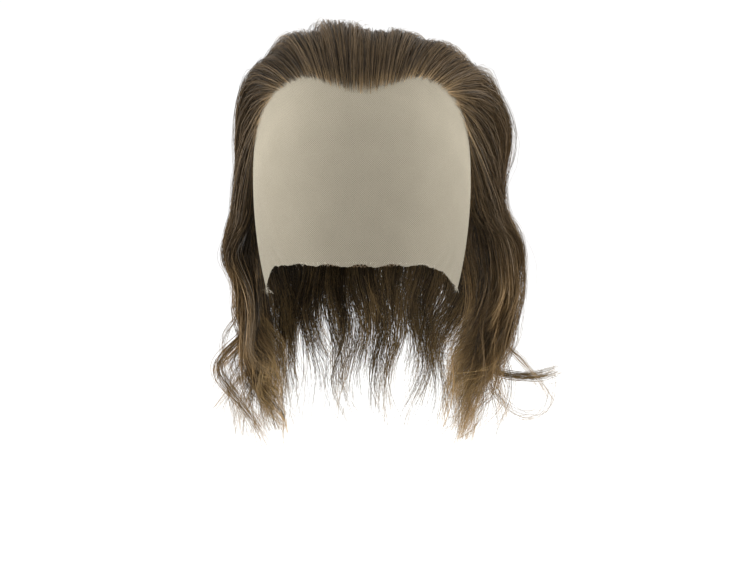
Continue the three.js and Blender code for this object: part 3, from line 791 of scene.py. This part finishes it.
def hair_piece(name, node, strands, material):
    lines, outward, run, to_tip, tone, fine = strands
    count = len(lines)
    width = rng.uniform(*STRAND_WIDTH, count)[:, None] * fine
    width = width * (ROOT_WIDTH + (1 - ROOT_WIDTH) * smooth(0, WIDE_FROM_ROOT, run))
    width = width * (TIP_WIDTH + (1 - TIP_WIDTH) * smooth(0, WIDE_FROM_TIP, to_tip))
    roll = rng.uniform(-STRAND_ROLL, STRAND_ROLL, count)
    root = np.clip(run / ROOT_LENGTH, 0, 1)
    gold = np.clip(1 - to_tip / GOLD_LENGTH, 0, 1) * smooth(*GOLD_TONES, tone)
    gold = gold * smooth(*GOLD_FROM_ROOT, run)
    obj = ribbons(name, lines, outward, width, roll, material, root=root, tip=gold, tone=tone)
    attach(obj, "root")
    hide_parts(node)
    return obj


# Materials
def new_material(name):
    material = bpy.data.materials.new(name)
    material.use_nodes = True
    tree = material.node_tree
    return material, tree, tree.nodes["Principled BSDF"]


def ramp(tree, factor, *stops):
    node = tree.nodes.new("ShaderNodeValToRGB")
    elements = node.color_ramp.elements
    while len(elements) < len(stops):
        elements.new(0.5)
    for element, (place, colour) in zip(elements, stops):
        element.position = place
        element.color = (*colour, 1)
    tree.links.new(factor, node.inputs[0])
    return node.outputs[0]


def grey(level):
    return (level, level, level)


def attribute(tree, name):
    node = tree.nodes.new("ShaderNodeAttribute")
    node.attribute_name = name
    return node.outputs["Fac"]


def blend_colours(tree, how, first, second):
    node = tree.nodes.new("ShaderNodeMix")
    node.data_type = "RGBA"
    node.blend_type = how
    node.inputs["Factor"].default_value = 1.0
    tree.links.new(first, node.inputs["A"])
    tree.links.new(second, node.inputs["B"])
    return node.outputs["Result"]


def hair_material():
    material, tree, shader = new_material("hair")
    # colours by the length from the root, with painted light: darker on top, lighter where the hair hangs
    from_root = ramp(tree, attribute(tree, "root"), *ROOT_COLOURS)
    strand = ramp(tree, attribute(tree, "tone"), *TONE_COLOURS)
    to_tip = ramp(tree, attribute(tree, "tip"), *TIP_COLOURS)
    colour = blend_colours(tree, "MULTIPLY", from_root, strand)
    colour = blend_colours(tree, "ADD", colour, to_tip)
    tree.links.new(colour, shader.inputs["Base Color"])
    shader.inputs["Roughness"].default_value = HAIR_ROUGHNESS
    shader.inputs["Specular IOR Level"].default_value = HAIR_SPECULAR
    return material


# A knotted net: threads round small holes, on the map of the cloth's own width and length
def net_material(name, net):
    material, tree, shader = new_material(name)
    place = tree.nodes.new("ShaderNodeUVMap")
    place.uv_map = "cloth"
    knots = tree.nodes.new("ShaderNodeTexVoronoi")
    knots.voronoi_dimensions = "2D"
    knots.feature = "DISTANCE_TO_EDGE"
    knots.inputs["Scale"].default_value = 1 / net["cell"]
    knots.inputs["Randomness"].default_value = NET_UNEVEN
    tree.links.new(place.outputs["UV"], knots.inputs["Vector"])
    uneven = tree.nodes.new("ShaderNodeTexNoise")
    uneven.noise_dimensions = "2D"
    uneven.inputs["Scale"].default_value = SHADE_SCALE
    uneven.inputs["Detail"].default_value = SHADE_DETAIL
    tree.links.new(place.outputs["UV"], uneven.inputs["Vector"])
    weave = ramp(tree, knots.outputs["Distance"], (THREAD_HALF, net["thread"]), (HOLE_FROM, net["hole"]))
    shade = ramp(tree, uneven.outputs["Fac"], *SHADE_COLOURS)
    # painted light along the cloth: the lace lighter near its hairline as if lit from above, darker towards
    # the free edge
    painted_light = ramp(tree, attribute(tree, "along"), *((at, grey(light)) for at, light in net["painted_light_along"]))
    shade = blend_colours(tree, "MULTIPLY", shade, painted_light)
    tree.links.new(blend_colours(tree, "MULTIPLY", weave, shade), shader.inputs["Base Color"])
    opaque = ((THREAD_HALF, grey(1)), (HOLE_FROM, grey(net["hole_alpha"])))
    tree.links.new(ramp(tree, knots.outputs["Distance"], *opaque), shader.inputs["Alpha"])
    shader.inputs["Roughness"].default_value = CLOTH_ROUGHNESS
    shader.inputs["Specular IOR Level"].default_value = NET_SPECULAR
    return material


def thread_material():
    material, tree, shader = new_material("lace_thread")
    colour = ramp(tree, attribute(tree, "tone"), *THREAD_COLOURS)
    tree.links.new(colour, shader.inputs["Base Color"])
    shader.inputs["Roughness"].default_value = CLOTH_ROUGHNESS
    return material


# Lace and cap
def seam_place(across):
    angle = math.radians(SEAM_HALF_ANGLE) * (2 * across - 1)
    direction = np.stack([np.sin(angle), np.full_like(angle, SEAM_LEAN), np.cos(angle)], -1)
    return over_head(direction, 0 * angle) - CENTRE


def cloth_place(edge, across, along, height):
    seam = unit(seam_place(across))
    free = unit(edge_place(edge, across, "turn", "left", "right"))
    swing = np.arccos(np.clip((seam * free).sum(-1, keepdims=True), -1, 1))
    t = along[..., None]
    direction = (seam * np.sin((1 - t) * swing) + free * np.sin(t * swing)) / np.sin(swing)
    return over_head(unit(direction), height)


# The lace near its lower corners: small creases in the cloth, deepest at the trimmed edge
def crease(across, along):
    corner = np.exp(-(((from_middle(across) - CREASE_SHARE) / CREASE_SPREAD) ** 2))
    near_edge = smooth(CREASE_FROM, 1.0, along)
    return CREASE_DEPTH * corner * near_edge * (1 + np.sin(2 * np.pi * CREASE_FOLDS * across))


def cloth_sheet(name, edge, height, grid, material, creased=0.0, ragged=0.0):
    rows, columns = grid
    across, along = np.meshgrid(np.linspace(0, 1, columns), np.linspace(SEAM_START, 1, rows))
    trim = ragged * (rng.random(columns) - 0.5 + np.sin(np.linspace(0, RAGGED_WAVES, columns)))
    along = along + trim * smooth(RAGGED_FROM, 1, along)
    points = cloth_place(edge, across, along, height + creased * crease(across, along))
    obj = mesh_object(name, points.reshape(-1, 3), grid_quads(rows, columns), material, along=along)
    x, y, z = np.moveaxis(points, -1, 0)
    facing = -1 if edge is LACE_EDGE else 1
    u = HALF_WIDTH * np.arctan2(x, facing * y)
    v = CROWN * np.arctan2(z + CROWN, np.hypot(x, y))
    weave = np.stack([u + v, u - v], -1).reshape(-1, 2) / math.sqrt(2)
    layer = obj.data.uv_layers.new(name="cloth")
    corners = np.empty(len(obj.data.loops), np.int32)
    obj.data.loops.foreach_get("vertex_index", corners)
    layer.data.foreach_set("uv", weave[corners].astype(np.float32).ravel())
    area = sum(p.area for p in obj.data.polygons)
    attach(obj, "root")
    return obj, area


# Loose thread ends of the trimmed lace: short ones all along its edge, long ones at each lower corner
def lace_threads(material):
    along_edge = rng.uniform(*EDGE_PLACES, EDGE_THREADS)
    corners = [rng.normal(place, CORNER_SPREAD, CORNER_THREADS) for place in CORNER_PLACES]
    across = np.concatenate([along_edge, *corners])
    short = rng.uniform(*EDGE_LENGTH, EDGE_THREADS)
    long = rng.uniform(*CORNER_LENGTH, len(CORNER_PLACES) * CORNER_THREADS)
    length = np.concatenate([short, long])[:, None, None]
    inside = np.full_like(across, LACE_WALL / 2)
    start = cloth_place(LACE_EDGE, across, np.full_like(across, THREAD_START), inside)
    below = cloth_place(LACE_EDGE, across, np.full_like(across, THREAD_TOWARDS), inside)
    down = unit(below - start + rng.normal(0, THREAD_SPLAY, start.shape))
    aside = unit(rng.normal(0, 1, start.shape))
    share = np.linspace(0, 1, THREAD_POINTS)[None, :, None]
    bend = THREAD_BEND * share**2 * length
    lines = start[:, None] + down[:, None] * share * length + aside[:, None] * bend
    outward = unit(lines - CENTRE)
    width = np.full(lines.shape[:2], THREAD_WIDTH)
    tone = np.repeat(rng.random(len(lines))[:, None], THREAD_POINTS, axis=1)
    roll = rng.uniform(-THREAD_ROLL, THREAD_ROLL, len(lines))
    obj = ribbons("lace_thread_ends", lines, outward, width, roll, material, tone=tone)
    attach(obj, "root")
    return obj


# Floor, light and camera
def make_floor():
    corners = [(-1, -1), (1, -1), (1, 1), (-1, 1)]
    points = np.array([[x * FLOOR_HALF, y * FLOOR_HALF, FLOOR_LEVEL] for x, y in corners])
    material, _, shader = new_material("floor")
    shader.inputs["Base Color"].default_value = FLOOR_COLOUR
    shader.inputs["Roughness"].default_value = FLOOR_ROUGHNESS
    floor = mesh_object("floor", points, [[0, 1, 2, 3]], material)


def make_light():
    world = bpy.data.worlds.new("studio")
    world.use_nodes = True
    background = world.node_tree.nodes["Background"]
    background.inputs["Color"].default_value = STUDIO_COLOUR
    background.inputs["Strength"].default_value = STUDIO_LIGHT
    bpy.context.scene.world = world
    for row in LAMPS:
        lamp = bpy.data.lights.new(row["name"], "AREA")
        lamp.size = row["size"]
        lamp.energy = row["power"]
        obj = bpy.data.objects.new(row["name"], lamp)
        obj.location = row["place"]
        aim = Vector(LAMP_AIM) - Vector(row["place"])
        obj.rotation_euler = aim.to_track_quat("-Z", "Y").to_euler()
        bpy.context.scene.collection.objects.link(obj)


def make_camera():
    forward = Vector((0, math.cos(CAMERA_DOWN), -math.sin(CAMERA_DOWN)))
    up = Vector((0, math.sin(CAMERA_DOWN), math.cos(CAMERA_DOWN)))
    aside = (IMAGE_WIDE / 2 - CENTRE_PIXEL[0]) / PIXELS_PER_MM
    below = (IMAGE_HIGH / 2 - CENTRE_PIXEL[1]) / PIXELS_PER_MM
    aim = Vector(CENTRE) + Vector((1, 0, 0)) * aside - up * below
    data = bpy.data.cameras.new("camera")
    data.sensor_width = SENSOR
    data.lens = SENSOR * PIXELS_PER_MM * CAMERA_DISTANCE / IMAGE_WIDE
    camera = bpy.data.objects.new("camera", data)
    camera.location = (aim - forward * CAMERA_DISTANCE) * MM
    camera.rotation_euler = forward.to_track_quat("-Z", "Y").to_euler()
    bpy.context.scene.collection.objects.link(camera)
    bpy.context.scene.camera = camera


make_camera()
make_floor()
make_light()
bpy.context.scene.view_settings.view_transform = "Standard"

lace_net = net_material("lace", LACE_NET)
lace, lace_area = cloth_sheet(
    "lace_sheet", LACE_EDGE, LACE_WALL / 2, LACE_GRID, lace_net, creased=1.0, ragged=RAGGED
)
thread_ends = lace_threads(thread_material())
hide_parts("lace_front")

cap, cap_area = cloth_sheet("cap_net", CAP_EDGE, CAP_WALL / 2, CAP_GRID, net_material("net", CAP_NET))
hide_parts("cap")

hair = hair_material()
for name, first, last in SECTIONS:
    hair_piece(name + "_strands", name, section_strands(first, last), hair)
for side in ("left", "right"):
    hair_piece("hair_curls_" + side, "hair_side_" + side, curl_strands(side), hair)
